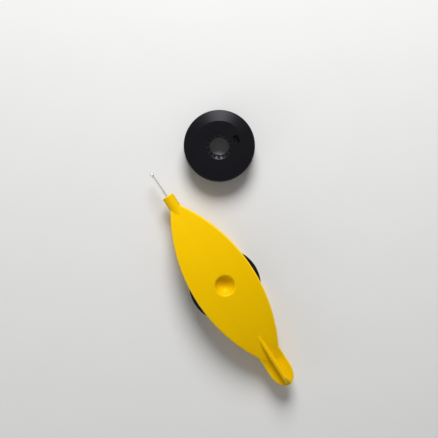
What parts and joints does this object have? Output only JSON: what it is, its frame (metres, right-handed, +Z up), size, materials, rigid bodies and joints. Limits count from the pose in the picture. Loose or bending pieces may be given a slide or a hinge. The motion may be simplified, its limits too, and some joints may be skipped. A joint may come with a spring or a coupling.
{
  "type": "tatting shuttle",
  "caption": "Pointed-oval tatting shuttle with bowed blades round a turning thread bobbin, a fine steel hook in its nose and a finned winding tail, beside a spare bobbin.",
  "frame": {"origin": "on the surface that the set lies on, under the middle of the box round the shuttle and the spare bobbin", "axes": "+X runs along the shuttle from its tail to its hook, +Z is up, and +Y is on the side away from the spare bobbin"},
  "size_m": [0.0922, 0.0478, 0.0117],
  "materials": {
    "shuttle_plastic": "opaque deep yellow moulded plastic, glossy",
    "bobbin_plastic": "black moulded plastic, semi-gloss",
    "hook_steel": "nickel-plated steel wire"
  },
  "bodies": {
    "shuttle": {"upper_shell": "shuttle_plastic", "lower_shell": "shuttle_plastic", "hook": "hook_steel"},
    "bobbin": {"bobbin_upper_half": "bobbin_plastic", "bobbin_lower_half": "bobbin_plastic"},
    "spare_bobbin": {"spare_bobbin_upper_half": "bobbin_plastic", "spare_bobbin_lower_half": "bobbin_plastic"}
  },
  "joints": [
    {"name": "bobbin_spin", "type": "hinge", "parent": "shuttle", "child": "bobbin", "pos_m": [-0.00615, 0.01195, 0.00585], "axis": [0, 0, 1], "continuous": true},
    {"name": "spare_bobbin_lift", "type": "slide", "parent": "shuttle", "child": "spare_bobbin", "axis": [0, 0, 1], "range_m": [0, 0.03]}
  ]
}
